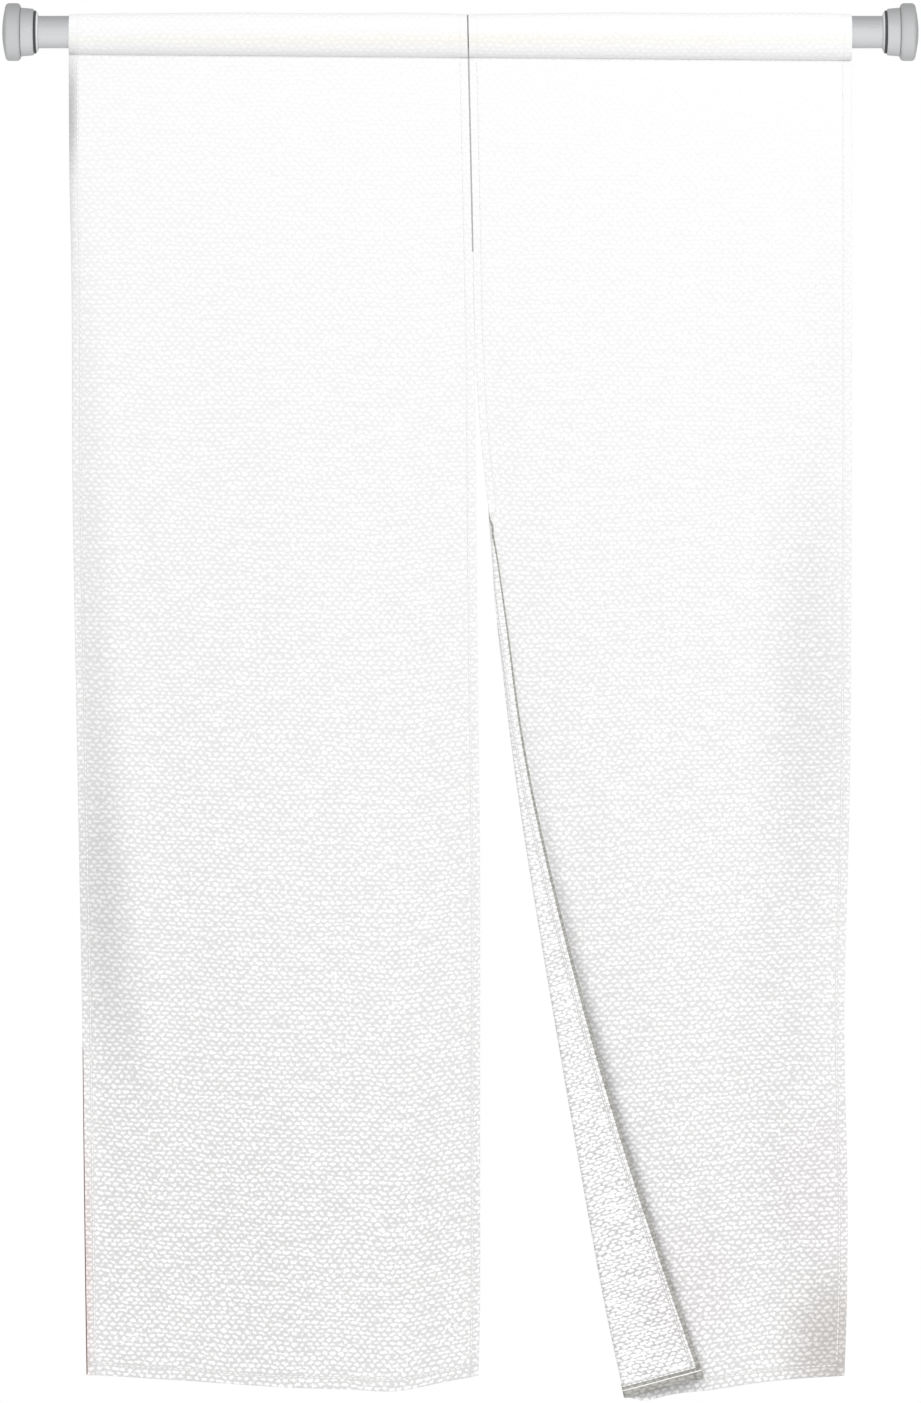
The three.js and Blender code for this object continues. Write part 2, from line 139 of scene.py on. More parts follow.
# The panels' edges. down is the depth below the rod's axis, and fold is the right panel's inner outline.
LEFT_EDGES = columns(
    "down outer inner",
    (-25, 72.9, 507.6), (60, 72.2, 509.5), (160, 72.8, 511.7), (241, 74.6, 513.5), (330, 75.4, 515.3),
    (500, 75.9, 516.9), (730, 79.4, 519.3), (894, 82.1, 521.5), (1167, 87.2, 521.6), (1385, 90.6, 521.5),
    (1470, 92.1, 519.6),
)
LEFT_HEM = columns(
    "across down",
    (0, 1467), (0.18, 1471.5), (0.48, 1479), (0.67, 1481.5), (0.79, 1484), (0.91, 1475), (1, 1468),
)
RIGHT_EDGES = columns(
    "down fold outer",
    (-25, 507.9, 927.2), (60, 509.8, 927.2), (160, 512, 927.2), (241, 513.8, 927.2), (330, 515.6, 927),
    (402, 519.2, 927), (456, 523.6, 926.8), (530, 531.6, 926.6), (664, 542.6, 926), (779, 555.6, 925.2),
    (894, 572, 923.4), (1090, 604.4, 918.4), (1287, 638.6, 922), (1400, 659.4, 921.6), (1500, 681.2, 918.6),
)
RIGHT_HEM = columns(
    "across down",
    (0, 1492), (0.07, 1495.5), (0.2, 1490), (0.39, 1482.5), (0.58, 1476), (0.8, 1470.4), (1, 1466.5),
)
# The right panel's inner edge, turned over to the front: the radius of the bend, how far round it turns
# and leans in degrees, and the width of cloth that lies flat past the bend
FLAP = columns(
    "down bend turn lean flat",
    (400, 2, 0, 5, 12.5), (495, 2, 3, 5, 12.3), (516, 2, 10, 5, 12), (532, 2, 85, 5, 7),
    (548, 2, 165, 5, 1.2), (562, 2, 180, 5, 1.9), (594, 2.1, 180, 5, 4.3), (664, 2.3, 180, 5.5, 8.1),
    (754, 2.7, 180, 6.5, 9.8), (843, 3, 180, 7.5, 13.8), (978, 3.4, 180, 8.8, 23.3),
    (1114, 3.8, 180, 9.2, 35.6), (1251, 4.2, 180, 9.2, 51.6), (1389, 4.6, 180, 8.4, 71.1),
    (1492, 5, 180, 7.3, 83.3),
)

# Folds. A step moves the cloth on the outer side of its place, and a ridge moves it along its place.
# reach is half the fold's width, and back is how far it goes away from the viewer, or forward below 0.
LEFT_STEP = columns(
    "down place reach back",
    (60, 78, 20, 0), (400, 88, 27, 9), (730, 101, 32, 22), (894, 112, 34, 28), (1058, 126, 37, 27),
    (1221, 136, 44, 12), (1467, 142, 50, 4),
)
LEFT_BELLY = columns(
    "down place reach back",
    (60, 300, 200, 0), (600, 310, 200, -7), (1000, 330, 190, -12), (1467, 350, 170, -16),
)
# The left edge turns back a little below the pocket, and forward near the hem
LEFT_CURL = columns(
    "down reach back",
    (30, 9, 0), (70, 9, 5), (160, 9, 4), (320, 9, 1), (700, 12, 0), (1000, 16, 0), (1250, 16, -5),
    (1467, 18, -8),
)
RIGHT_STEP = columns(
    "down place reach back",
    (60, 908, 26, 0), (300, 900, 32, -8), (620, 882, 42, -15), (820, 866, 48, -19), (1040, 848, 54, -21),
    (1200, 850, 58, -18), (1467, 878, 44, -14),
)
RIGHT_BELLY = columns(
    "down place reach back",
    (241, 660, 180, 0), (620, 670, 170, -8), (1000, 700, 130, -9), (1467, 790, 80, -8),
)
# The valley behind the turned-over corner, placed from where the bend begins
RIGHT_VALLEY = columns(
    "down place reach back",
    (700, 12, 10, 0), (900, 18, 15, 4), (1200, 33, 29, 11), (1490, 50, 45, 18),
)
# Small soft waves of the whole cloth: height, the lengths across and down in which the angle grows by one
# radian, and the angle that it starts from. They grow from nothing over a depth.
WAVES = ((0.7, 41, 190, 0), (0.5, 23, -120, 1.7), (0.45, 95, 57, 0.6))
WAVES_GROW = {"from": 40, "over": 400}


def read(table, column, at, place="down"):
    """A column's value on a smooth curve through a table's rows."""
    stops, values = table[place], table[column]
    at = np.clip(np.asarray(at, float), stops[0], stops[-1])
    rows = np.arange(len(stops))
    i = np.clip(np.searchsorted(stops, at, side="right") - 1, 0, rows[-2])
    before, after = np.maximum(rows - 1, 0), np.minimum(rows + 1, rows[-1])
    slopes = (values[after] - values[before]) / (stops[after] - stops[before])
    span = stops[i + 1] - stops[i]
    t = (at - stops[i]) / span
    lean = span * t * (1 - t) * (slopes[i] * (1 - t) - slopes[i + 1] * t)
    return values[i] + (values[i + 1] - values[i]) * t * t * (3 - 2 * t) + lean


def step(offset, reach):
    """1 on a fold's outer side and 0 on its inner side."""
    return 0.5 - 0.5 * np.sin(np.pi / 2 * np.clip(offset / reach, -1, 1))


def ridge(offset, reach):
    """1 along the middle of a fold and 0 on both sides of it."""
    return 0.5 + 0.5 * np.cos(np.pi * np.clip(offset / reach, -1, 1))


def fold_back(form, table, x, down, origin=0.0):
    """How far back one fold moves the cloth."""
    offset = x - origin - read(table, "place", down)
    return read(table, "back", down) * form(offset, read(table, "reach", down))


def unevenness(x, down):
    """Small soft waves that stop the cloth from hanging like a board, none at the rod."""
    growth = np.clip((down - WAVES_GROW["from"]) / WAVES_GROW["over"], 0, 1)
    return growth * sum(
        height * np.sin(x / across + down / along + start) for height, across, along, start in WAVES)


def left_back(x, down):
    """How far back the left sheet lies."""
    from_edge = x - read(LEFT_EDGES, "outer", down)
    curl = np.clip(1 - from_edge / read(LEFT_CURL, "reach", down), 0, None) ** 2
    return (
        fold_back(step, LEFT_STEP, x, down) + fold_back(ridge, LEFT_BELLY, x, down)
        + read(LEFT_CURL, "back", down) * curl + unevenness(x, down)
    )


def right_back(x, down, bend_x):
    """How far back the right sheet lies, past its turned-over edge."""
    outer_step = read(RIGHT_STEP, "back", down) - fold_back(step, RIGHT_STEP, x, down)
    return (
        outer_step + fold_back(ridge, RIGHT_BELLY, x, down)
        + fold_back(ridge, RIGHT_VALLEY, x, down, bend_x) + unevenness(x, down)
    )


def stitch_depth(x):
    """How deep the pockets' stitch line lies, which runs a little downhill to the right."""
    share = (x - POCKET["from"]) / (POCKET["to"] - POCKET["from"])
    return POCKET["stitch_left"] + share * (POCKET["stitch_right"] - POCKET["stitch_left"])


def level_of(share, x, hem, across):
    """How far down a row lies at x, where it is some share of the way across the panel."""
    top = stitch_depth(x)
    return top + share * (read(hem, "down", across, "across") - top)


# Close columns across a side hem and close rows across a bottom hem, from the edge inwards, and close rows
# below the stitch line, so that the rounded edges and the lines of stitches have a shape
HEM_STOPS = np.array([0, 0.35, 1, 2.4, 4.2, 6, 7.6, 8.5, 9, 9.5, 10.3, 11, 12.2])
FOOT_STOPS = np.array([0, 0.35, 1, 3, 6, 9, 11.4, 12.2, 13, 14.2, 15, 16.2])
TOP_STOPS = np.array([0, 0.4, 1, 2, 4, 7, 11, 16])


def row_shares(length):
    """Shares of the way from the stitch line to the hem, close at both ends and where FLAP turns."""
    stops = (TOP_STOPS[-1], TURN_ZONE[0], TURN_ZONE[1], length - FOOT_STOPS[-1])
    pitches = (ROW_PITCH, TURN_PITCH, ROW_PITCH)
    runs = [
        np.linspace(low, high, round((high - low) / pitch) + 1)[1:]
        for low, high, pitch in zip(stops, stops[1:], pitches)
    ]
    return np.concatenate([TOP_STOPS, *runs, (length - FOOT_STOPS[::-1])[1:]]) / length


def hem_extra(from_side, from_bottom):
    """Extra thickness behind the cloth: full in a hem, and none a slope's width inside it."""
    side, bottom = (from_side - HEM["side"]) / HEM["slope"], (from_bottom - HEM["bottom"]) / HEM["slope"]
    return HEM["extra"] * (1 - np.clip(np.minimum(side, bottom), 0, 1))


def left_rows():
    """The left sheet below its pocket: points, and how far they are from both sides and the bottom."""
    width = LEFT_EDGES["inner"][0] - LEFT_EDGES["outer"][0]
    length = LEFT_HEM["down"][0] - POCKET["stitch_left"]
    middle = np.linspace(HEM_STOPS[-1], width - HEM_STOPS[-1], COLUMNS["left"])
    distance = np.concatenate([HEM_STOPS[:-1], middle, (width - HEM_STOPS[::-1])[1:]])
    share, distance = np.meshgrid(row_shares(length), distance, indexing="ij")
    across = distance / width
    level = level_of(share, POCKET["from"] + distance, LEFT_HEM, across)
    outer, inner = read(LEFT_EDGES, "outer", level), read(LEFT_EDGES, "inner", level)
    x = outer + across * (inner - outer)
    points = np.stack([x, left_back(x, level), -level], axis=-1)
    return points, distance, width - distance, (1 - share) * length


def right_rows():
    """The right sheet below its pocket, as left_rows gives the left one. A row runs from the free inner
    edge, round the bend, to the outer edge."""
    length = RIGHT_HEM["down"][-1] - POCKET["stitch_right"]
    grid, from_inner, from_outer, from_bottom = [], [], [], []
    for share in row_shares(length):
        level = float(level_of(share, RIGHT_EDGES["fold"][0], RIGHT_HEM, 0))
        bend, flat = float(read(FLAP, "bend", level)), float(read(FLAP, "flat", level))
        turn = math.radians(float(read(FLAP, "turn", level)))
        arc, strip = bend * turn, flat + bend * turn
        face = CLOTH / 2 * math.sin(min(turn, math.pi / 2))
        sticks_out = face + (bend * math.sin(turn) + flat * math.cos(turn) if turn < math.pi / 2 else bend)
        lean = math.radians(float(read(FLAP, "lean", level)))
        bend_x = float(read(RIGHT_EDGES, "fold", level)) + sticks_out / math.cos(lean)
        width = float(read(RIGHT_EDGES, "outer", level)) - bend_x

        # Columns: the free hem, the flap, the bend, the main sheet and the outer hem
        hem = HEM_STOPS[-1]
        flap_end = max(flat, hem + LEAST_STRETCH)
        bend_end = max(strip, flap_end + LEAST_STRETCH)
        distance = np.concatenate([
            HEM_STOPS,
            np.linspace(hem, flap_end, COLUMNS["flap"])[1:],
            np.linspace(flap_end, bend_end, COLUMNS["bend"])[1:],
            np.linspace(bend_end, strip + width - hem, COLUMNS["right"])[1:],
            strip + width - HEM_STOPS[::-1][1:],
        ])

        travel = np.clip(strip - distance, 0, None)
        angle, past = np.minimum(travel, arc) / bend, np.clip(travel - arc, 0, None)
        side = bend * np.sin(angle) + past * np.cos(angle)
        forward = bend * (1 - np.cos(angle)) + past * np.sin(angle)
        main = np.clip(distance - strip, 0, None)
        x = bend_x + main
        levels = np.where(main > 0, level_of(share, x, RIGHT_HEM, main / width), level)
        back = right_back(x, levels, bend_x) - forward
        x = x - side * math.cos(lean) - travel * math.tan(lean) * math.sin(lean)
        z = -levels - side * math.sin(lean) + travel * math.tan(lean) * math.cos(lean)
        grid.append(np.stack([x, back, z], axis=-1))
        from_inner.append(distance)
        from_outer.append(strip + width - distance)
        from_bottom.append(np.full_like(distance, (1 - share) * length))
    return tuple(np.array(rows) for rows in (grid, from_inner, from_outer, from_bottom))


def pocket_rows(top, edges, first, last):
    """A pocket's rows, from a sheet's top row of points: up in front of the rod, over it and down behind to
    the stitch line, and then the lip. Below the rod the cloth bulges like a superellipse. first and last are
    the edges' columns that the rows run between."""
    radius = ROD_RADIUS + GAP + CLOTH / 2 + POCKET["slack"]
    x, stitch = top[:, 0], -top[:, 2]
    ends = read(edges, first, stitch), read(edges, last, stitch)
    share = (x - ends[0]) / (ends[1] - ends[0])
    lifted = 1 - np.abs(2 * share - 1) ** POCKET["crown_power"]
    crown = radius + POCKET["crown_lift"] * lifted * (1 + POCKET["wave"] * np.sin(x / POCKET["wave_length"]))
    path = [(turn, 0) for turn in np.linspace(0, 1, POCKET["steps"])] + [(1, lip) for lip in LIP_ROWS]
    rows = []
    for turn, lip in path:
        forward, up = math.sin(2 * math.pi * turn), -math.cos(2 * math.pi * turn)
        power = POCKET["bulge_power"] if up < 0 else 1
        back = -math.copysign(abs(forward) ** power, forward) * radius
        height = crown * up if up > 0 else -stitch * abs(up) ** power - lip * POCKET["lip"]
        late = (turn - POCKET["behind_from"]) / (1 - POCKET["behind_from"])
        behind = (CLOTH + GAP) * np.clip(late, 0, 1)
        ends = read(edges, first, -height), read(edges, last, -height)
        place = ends[0] + share * (ends[1] - ends[0])
        rows.append(np.stack([place, back + behind + top[:, 1], height], axis=-1))
    return np.array(rows)


def srgb(code):
    """A linear colour from an sRGB hex code."""
    values = [int(code[i:i + 2], 16) / 255 for i in (1, 3, 5)]
    return tuple(v / 12.92 if v <= 0.04045 else ((v + 0.055) / 1.055) ** 2.4 for v in values) + (1.0,)


def add(tree, kind, sockets=None, out=0, **settings):
    """Adds a node and gives one of its outputs. A value that is another node's output is linked."""
    made = tree.nodes.new("ShaderNode" + kind)
    for name, value in settings.items():
        setattr(made, name, value)
    for name, value in (sockets or {}).items():
        if isinstance(value, bpy.types.NodeSocket):
            tree.links.new(value, made.inputs[name])
        else:
            made.inputs[name].default_value = value
    return made.outputs[out] if made.outputs else None


def new_material(name):
    """An empty material and its node tree."""
    material = bpy.data.materials.new(name)
    material.use_nodes = True
    material.node_tree.nodes.clear()
    return material, material.node_tree


def finish_material(tree, sockets):
    """Gives a material its surface."""
    add(tree, "OutputMaterial", {"Surface": add(tree, "BsdfPrincipled", sockets)})


# Soft patches laid over the cloth's colour: middle and reach in millimetres, colour and strength.
# The cream, pink and brown ones are stains that the cloth has taken. The three grey ones are painted shade,
# deepening a fold's shade beside an outer edge. A patch is full where its gradient is above a level.
TINT_FULL = 0.85
STAINS_AND_PAINTED_SHADE = (
    {"x": 500, "down": 10, "wide": 700, "high": 9, "colour": "#fdfaef", "strength": 0.6},
    # Painted shade beside the left edge, below the pocket
    {"x": 76, "down": 85, "wide": 10, "high": 95, "colour": "#d6d6d6", "strength": 0.8},
    {"x": 92, "down": 1380, "wide": 10, "high": 240, "colour": "#f4dcda", "strength": 0.45},
    # Painted shade of the folds beside the left and the right edges, in this row and the next
    {"x": 98, "down": 980, "wide": 40, "high": 230, "colour": "#e9e9e9", "strength": 0.5},
    {"x": 885, "down": 730, "wide": 80, "high": 330, "colour": "#ededed", "strength": 0.45},
    {"x": 745, "down": 1370, "wide": 80, "high": 100, "colour": "#f4e9ec", "strength": 0.25},
    {"x": 893, "down": 1260, "wide": 90, "high": 130, "colour": "#f4e9ec", "strength": 0.2},
    {"x": 912, "down": 1440, "wide": 80, "high": 125, "colour": "#d6d0cd", "strength": 0.75},
)
# Dark lines along an edge: the sewn seam's line, partly its darker thread and partly painted shade of its
# groove, and a brown mark low on the left edge
EDGE_LINES = (
    # Partly painted shade of the seam's groove
    {"x": 511, "reach": 14, "top": -30, "foot": 240, "width": 0.6, "colour": "#8b8988"},
    {"x": 87, "reach": 20, "top": 1110, "foot": 1466, "width": 0.6, "colour": "#735a55"},
)
# The darker strip along a hem on the reverse, grey-brown: partly the hem's own colour, partly painted shade
# of its rolled edge. It widens downwards at the sides.
HEM_SHADE_STRIP = {
    "side_top": 1.6, "side_foot": 5, "from": 920, "to": 100, "bottom": 11.4,
    "crease": 7.8, "crease_half": 0.5,
}


def weave(tree, cloth, grain):
    """How far a point lies from the nearest grain's middle: 1 is about at the grain's edge."""
    drift = add(tree, "TexNoise", {"Vector": cloth, "Scale": 1 / (WAVER["drift_size"] * MM)}, out="Color")
    jitter = add(tree, "TexNoise", {"Vector": cloth, "Scale": 1 / (WAVER["jitter_size"] * MM), "Detail": 3},
                 out="Color")
    slow, quick = (WAVER["drift"] * MM,) * 3, (WAVER["across"] * MM, WAVER["along"] * MM, 0)
    moved = add(tree, "VectorMath", {0: drift, 1: slow, 2: cloth}, operation="MULTIPLY_ADD")
    moved = add(tree, "VectorMath", {0: jitter, 1: quick, 2: moved}, operation="MULTIPLY_ADD")
    rows = (1 / (grain["pitch"] * MM), 1 / (grain["row"] * MM), 0)
    grid = add(tree, "VectorMath", {0: moved, 1: rows}, operation="MULTIPLY")
    shape = (grain["pitch"] / grain["long"], grain["row"] / grain["tall"], 0)
    found = []
    for shift in ((0, 0, 0), (0.5, 1, 0)):
        own = add(tree, "VectorMath", {0: grid, 1: shift}, operation="ADD")
        own = add(tree, "VectorMath", {0: own, 1: (0.5, 1, 1), 2: (-0.5, -1, -1)}, operation="WRAP")
        own = add(tree, "VectorMath", {0: own, 1: shape}, operation="MULTIPLY")
        found.append(add(tree, "VectorMath", {0: own}, out="Value", operation="LENGTH"))
    nearest = add(tree, "Math", {0: found[0], 1: found[1]}, operation="MINIMUM")
    slub_scale = (1 / (WAVER["slub_long"] * MM), 1 / (WAVER["slub_tall"] * MM), 1)
    along = add(tree, "Mapping", {"Vector": cloth, "Scale": slub_scale})
    slub = add(tree, "TexNoise", {"Vector": along, "Scale": 1})
    fuzz = add(tree, "TexNoise", {"Vector": cloth, "Scale": 1 / (WAVER["fuzz_size"] * MM)})
    uneven = add(tree, "Math", {0: fuzz, 1: grain["fuzz"], 2: slub}, operation="MULTIPLY_ADD")
    uneven = add(tree, "Math", {0: uneven, 1: (1 + grain["fuzz"]) / 2}, operation="SUBTRACT")
    return add(tree, "Math", {0: nearest, 1: uneven}, operation="ADD")


def stained_and_shaded(tree, colour, place):
    """Lays the stains, and the painted shade of the grey patches, over a colour."""
    for tint in STAINS_AND_PAINTED_SHADE:
        scale = (1 / (tint["wide"] * MM), 0, 1 / (tint["high"] * MM))
        middle = (-tint["x"] / tint["wide"], 0, tint["down"] / tint["high"])
        local = add(tree, "Mapping", {"Vector": place, "Location": middle, "Scale": scale})
        spot = add(tree, "TexGradient", {"Vector": local}, out="Fac", gradient_type="SPHERICAL")
        soft = add(tree, "MapRange", {"Value": spot, "From Max": TINT_FULL, "To Max": tint["strength"]},
                   interpolation_type="SMOOTHSTEP")
        colour = add(tree, "Mix", {"Factor": soft, 6: colour, 7: srgb(tint["colour"])}, out=2,
                     data_type="RGBA", blend_type="MULTIPLY")
    return colour


def hem_stripped(tree, colour, hem, gap, thread, strip):
    """Draws the turned hems' darker strip, partly their own colour and partly painted shade of their rolled
    edges, with a pale crease along it at the bottom.
    """
    width = add(tree, "MapRange", {
        "Value": hem["Y"], "From Min": HEM_SHADE_STRIP["from"] * MM, "From Max": HEM_SHADE_STRIP["to"] * MM,
        "To Min": HEM_SHADE_STRIP["side_top"] * MM, "To Max": HEM_SHADE_STRIP["side_foot"] * MM})
    side = add(tree, "Math", {0: hem["X"], 1: width}, operation="LESS_THAN")
    bottom = add(tree, "Math", {0: hem["Y"], 1: HEM_SHADE_STRIP["bottom"] * MM}, operation="LESS_THAN")
    either = add(tree, "Math", {0: side, 1: bottom}, operation="MAXIMUM")
    crease = add(tree, "Math", {0: hem["Y"], 1: HEM_SHADE_STRIP["crease"] * MM, 2: HEM_SHADE_STRIP["crease_half"] * MM},
                 operation="COMPARE")
    # Partly the hem's own colour, partly painted shade of its rolled edge
    greige_and_shade = add(tree, "Mix", {"Factor": gap, 6: srgb(strip["thread"]), 7: srgb(strip["shade"])}, out=2,
                 data_type="RGBA")
    greige_and_shade = add(tree, "Mix", {"Factor": crease, 6: greige_and_shade, 7: srgb(thread)}, out=2, data_type="RGBA")
    return add(tree, "Mix", {"Factor": either, 6: colour, 7: greige_and_shade}, out=2, data_type="RGBA")


def edge_lined(tree, colour, place, from_side):
    """Draws the dark lines along the edges: the seam's, partly painted shade, and the brown mark."""
    axes = add(tree, "SeparateXYZ", {"Vector": place}).node.outputs
    for line in EDGE_LINES:
        near = add(tree, "Math", {0: axes["X"], 1: line["x"] * MM, 2: line["reach"] * MM},
                   operation="COMPARE")
        middle, half = (line["top"] + line["foot"]) / 2, (line["foot"] - line["top"]) / 2
        beside = add(tree, "Math", {0: axes["Z"], 1: -middle * MM, 2: half * MM}, operation="COMPARE")
        within = add(tree, "Math", {0: from_side, 1: line["width"] * MM}, operation="LESS_THAN")
        both = add(tree, "Math", {0: near, 1: beside}, operation="MULTIPLY")
        both = add(tree, "Math", {0: both, 1: within}, operation="MULTIPLY")
        colour = add(tree, "Mix", {"Factor": both, 6: colour, 7: srgb(line["colour"])}, out=2,
                     data_type="RGBA")
    return colour


def linen(name, thread, shade, grain, strip=None):
    """Coarse plain-weave linen, bleached and unpressed: matt, with fat weft threads that stand out as pale
    grains in a greyer network, and slubs. The reverse has the turned hems' darker strip as well, partly
    their own colour and partly painted shade of their rolled edges, whose two colours are in strip."""
    material, tree = new_material(name)
    place = add(tree, "TexCoord", out="Object")
    hem = add(tree, "SeparateXYZ", {"Vector": add(tree, "UVMap", uv_map="hem")}).node.outputs
    distance = weave(tree, add(tree, "UVMap", uv_map="cloth"), grain)
    gap = add(tree, "MapRange", {"Value": distance, "From Min": grain["core"], "From Max": grain["edge"]},
              interpolation_type="SMOOTHSTEP")
    # Painted shade along the lines of stitches: the network's full colour in a band round each line
    groove = HEM["groove"] * MM
    side_stitch, foot_stitch = HEM["side_stitch"] * MM, HEM["bottom_stitch"] * MM
    side_seam = add(tree, "Math", {0: hem["X"], 1: side_stitch, 2: groove}, operation="COMPARE")
    foot_seam = add(tree, "Math", {0: hem["Y"], 1: foot_stitch, 2: groove}, operation="COMPARE")
    sewn = add(tree, "Math", {0: side_seam, 1: foot_seam}, operation="MAXIMUM")
    gap = add(tree, "Math", {0: sewn, 1: gap}, operation="MAXIMUM")
    # Painted light: the network is made fainter towards the rod, where the light is brighter
    network = add(tree, "MapRange", {
        "Value": add(tree, "SeparateXYZ", {"Vector": place}, out="Z"), "From Min": -NETWORK_PAINTED_LIGHT["faint_to"] * MM,
        "From Max": -NETWORK_PAINTED_LIGHT["full_from"] * MM, "To Min": NETWORK_PAINTED_LIGHT["faint"]})
    shown = add(tree, "Math", {0: gap, 1: network}, operation="MULTIPLY")
    colour = add(tree, "Mix", {"Factor": shown, 6: srgb(thread), 7: srgb(shade)}, out=2, data_type="RGBA")
    colour = stained_and_shaded(tree, colour, place)
    if strip:
        colour = hem_stripped(tree, colour, hem, gap, thread, strip)
    colour = edge_lined(tree, colour, place, hem["X"])
    relief = add(tree, "Bump", {"Height": gap, "Strength": 0.5, "Distance": 0.4 * MM}, invert=True)
    finish_material(tree, {
        "Base Color": colour, "Roughness": 0.92, "Sheen Weight": 0.1, "Sheen Roughness": 0.5,
        "Specular IOR Level": 0.15, "Normal": relief})
    return material


def cotton_thread():
    """White cotton sewing thread, two-ply and matt, a little brighter than the cloth."""
    material, tree = new_material("cotton_sewing_thread")
    place = add(tree, "TexCoord", out="Object")
    ply = add(tree, "TexNoise", {"Vector": place, "Scale": 1 / (PLY * MM)})
    colour = add(tree, "Mix", {"Factor": ply, 6: srgb("#ecebe9"), 7: srgb("#ffffff")}, out=2,
                 data_type="RGBA")
    finish_material(tree, {"Base Color": colour, "Roughness": 0.8})
    return material


def painted_tube():
    """Steel tube in satin silver-grey lacquer: a soft metallic sheen with faint drawn lines along it."""
    material, tree = new_material("silver_lacquered_steel_tube")
    across = 1 / (DRAWN_LINES["apart"] * MM)
    lines = (1 / (DRAWN_LINES["long"] * MM), across, across)
    along = add(tree, "Mapping", {"Vector": add(tree, "TexCoord", out="Object"), "Scale": lines})
    drawn = add(tree, "TexNoise", {"Vector": along, "Scale": 1})
    colour = add(tree, "Mix", {"Factor": drawn, 6: srgb("#d3d5d8"), 7: srgb("#e4e5e7")}, out=2,
                 data_type="RGBA")
    relief = add(tree, "Bump", {"Height": drawn, "Strength": 0.05, "Distance": 0.05 * MM})
    finish_material(tree, {"Base Color": colour, "Metallic": 0.85, "Roughness": 0.26, "Normal": relief})
    return material


def moulded(name, light, dark, roughness, grit, metallic):
    """Moulded plastic or rubber with a fine grit, faintly mottled. A metallic one has a silver-grey coat."""
    material, tree = new_material(name)
    place = add(tree, "TexCoord", out="Object")
    mottle = add(tree, "TexNoise", {"Vector": place, "Scale": 1 / (MOTTLE["moulded"] * MM), "Detail": 4})
    grain = add(tree, "TexNoise", {"Vector": place, "Scale": 1 / (grit * MM)})
    colour = add(tree, "Mix", {"Factor": mottle, 6: srgb(dark), 7: srgb(light)}, out=2, data_type="RGBA")
    relief = add(tree, "Bump", {"Height": grain, "Strength": 0.12, "Distance": 0.06 * MM})
    finish_material(tree, {
        "Base Color": colour, "Roughness": roughness, "Metallic": metallic, "Normal": relief})
    return material


def pale_floor():
    """A floor with matt off-white paint, faintly cloudy."""
    material, tree = new_material("matt_pale_floor")
    place = add(tree, "TexCoord", out="Object")
    mottle = add(tree, "TexNoise", {"Vector": place, "Scale": 1 / (MOTTLE["floor"] * MM), "Detail": 4})
    colour = add(tree, "Mix", {"Factor": mottle, 6: srgb("#eceded"), 7: srgb("#f4f4f4")}, out=2,
                 data_type="RGBA")
    finish_material(tree, {"Base Color": colour, "Roughness": 0.9})
    return material


def deselect_all():
    if bpy.context.object and bpy.context.object.mode != "OBJECT":
        bpy.ops.object.mode_set(mode="OBJECT")
    bpy.ops.object.select_all(action="DESELECT")


def cloth_piece(name, points, from_edges, from_bottom, across, materials, reverse_edge):
    """A closed sheet of cloth on a grid of points on its middle surface, in millimetres. Its materials are
    for the front and the reverse. Where reverse_edge is true, the first column's rim is reverse as well."""
    rows, cols = points.shape[:2]
    down = np.gradient(points, axis=0)
    over = np.gradient(points, axis=1)
    front = np.cross(down, over)
    front /= np.linalg.norm(front, axis=-1, keepdims=True)
    nearest = np.minimum(*from_edges)
    rim = np.minimum(np.minimum(nearest, from_bottom), RIM["width"]) / RIM["width"]
    rounded = (RIM["least"] + (1 - RIM["least"]) * np.sqrt(1 - (1 - rim) ** 2))[..., None]
    dimple = DIMPLE["deep"] * np.exp(-(((nearest - HEM["side_stitch"]) / DIMPLE["wide"]) ** 2))
    dimple += DIMPLE["deep"] * np.exp(-(((from_bottom - HEM["bottom_stitch"]) / DIMPLE["wide"]) ** 2))
    extra = hem_extra(nearest, from_bottom)
    front_face = points + front * (rounded * CLOTH / 2 - dimple[..., None])
    back_face = points - front * (rounded * (CLOTH / 2 + extra[..., None]) - dimple[..., None])
    vertices = np.concatenate([front_face.reshape(-1, 3), back_face.reshape(-1, 3)]) * MM

    index = np.arange(rows * cols).reshape(rows, cols)
    quads = np.stack([index[:-1, :-1], index[1:, :-1], index[1:, 1:], index[:-1, 1:]], axis=-1)
    quads = quads.reshape(-1, 4)
    border = np.concatenate([index[:, 0], index[-1, 1:], index[-2::-1, -1], index[0, -2:0:-1]])
    turned = np.roll(border, -1)
    rim_quads = np.stack([turned, border, border + rows * cols, turned + rows * cols], axis=-1)
    faces = np.concatenate([quads, quads[:, ::-1] + rows * cols, rim_quads])

    mesh = bpy.data.meshes.new(name)
    mesh.from_pydata(vertices.tolist(), [], faces.tolist())
    for material in materials:
        mesh.materials.append(material)
    first_edge = np.arange(len(rim_quads)) < rows - 1
    which = np.concatenate([np.zeros(len(quads)), np.ones(len(quads)), first_edge & reverse_edge])
    mesh.polygons.foreach_set("material_index", which.astype(np.int32))
    mesh.polygons.foreach_set("use_smooth", np.ones(len(faces), bool))
    corner = np.zeros(len(mesh.loops), np.int32)
    mesh.loops.foreach_get("vertex_index", corner)
    corner %= rows * cols
    for layer, (u, v) in {"cloth": (across, from_bottom), "hem": (nearest, from_bottom)}.items():
        uv = np.stack([u.ravel()[corner], v.ravel()[corner]], axis=-1) * MM
        mesh.uv_layers.new(name=layer).data.foreach_set("uv", uv.ravel().astype(np.float32))
    piece = bpy.data.objects.new(name, mesh)
    bpy.context.scene.collection.objects.link(piece)
    return piece, front_face, back_face, front


